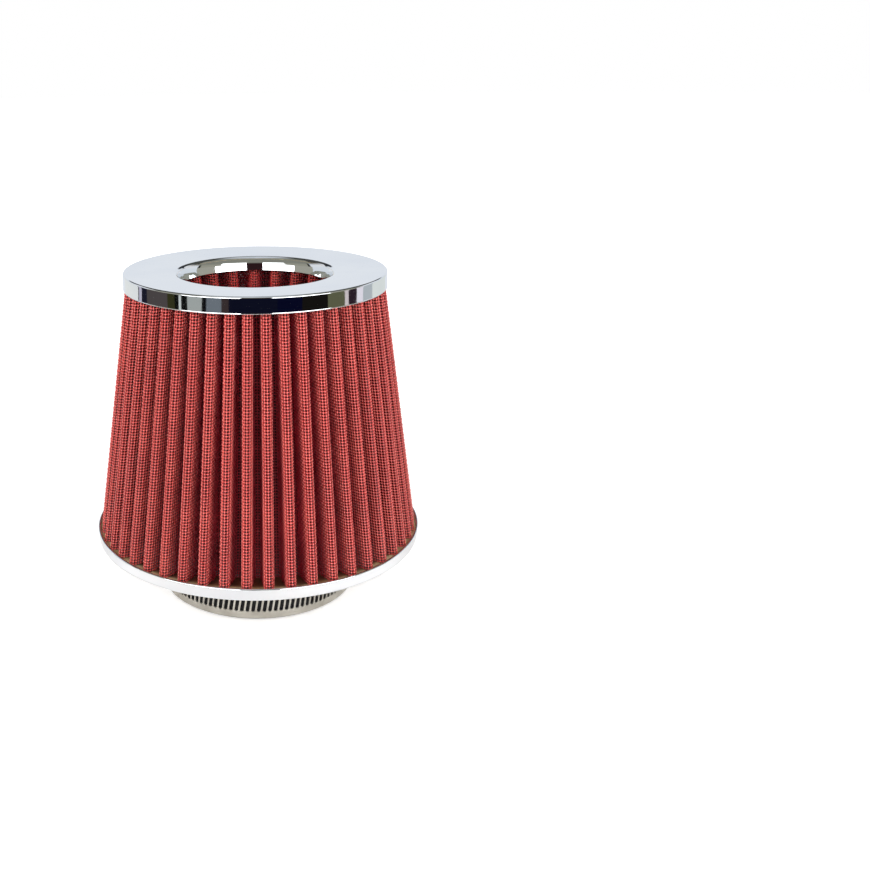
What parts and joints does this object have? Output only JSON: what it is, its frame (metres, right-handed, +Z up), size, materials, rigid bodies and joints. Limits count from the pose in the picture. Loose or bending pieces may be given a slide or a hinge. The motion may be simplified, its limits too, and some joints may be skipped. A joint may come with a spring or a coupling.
{
  "type": "cone air filter",
  "caption": "Clamp-on cone air filter: pleated red mesh cone with an open inverted inner cone, chrome end caps, and a rubber neck with a worm-drive clamp.",
  "frame": {"origin": "on the cone's axis, at the open end of the rubber neck, which is the plane it stands on", "axes": "+Z up along the axis from the neck to the top cap; the front is -Y, and the clamp's screw is at the back, +Y, lying along X"},
  "size_m": [0.155, 0.155, 0.1535],
  "materials": {
    "chrome_cap": "mirror chrome plate on pressed steel",
    "chrome_pan": "mirror chrome plate on pressed steel",
    "resin": "cast polyurethane potting, beige, slightly uneven",
    "red_screen": "woven wire screen, red epoxy coat, semi-gloss",
    "cotton": "oiled red cotton gauze",
    "clip_steel": "plain zinc-plated sheet steel",
    "neck_rubber": "moulded black rubber, satin",
    "stainless": "rolled stainless strip, satin",
    "screw_steel": "plated steel screw"
  },
  "bodies": {
    "filter": {"top_cap": "chrome_cap", "top_potting": "resin", "outer_mesh": "red_screen", "outer_media": "cotton", "outer_backing_mesh": "red_screen", "outer_seam_clip": "clip_steel", "inner_mesh": "red_screen", "inner_media": "cotton", "inner_backing_mesh": "red_screen", "inner_seam_clip": "clip_steel", "inner_end_cap": "clip_steel", "inner_potting": "resin", "base_pan": "chrome_pan", "base_potting": "resin", "neck": "neck_rubber", "clamp_band": "stainless", "clamp_saddle": "stainless", "clamp_housing": "stainless"},
    "screw": {"clamp_screw": "screw_steel"}
  },
  "joints": [
    {"name": "clamp_screw_turn", "type": "hinge", "parent": "filter", "child": "screw", "pos_m": [0, 0.0509, 0.00715], "axis": [1, 0, 0], "continuous": true}
  ]
}
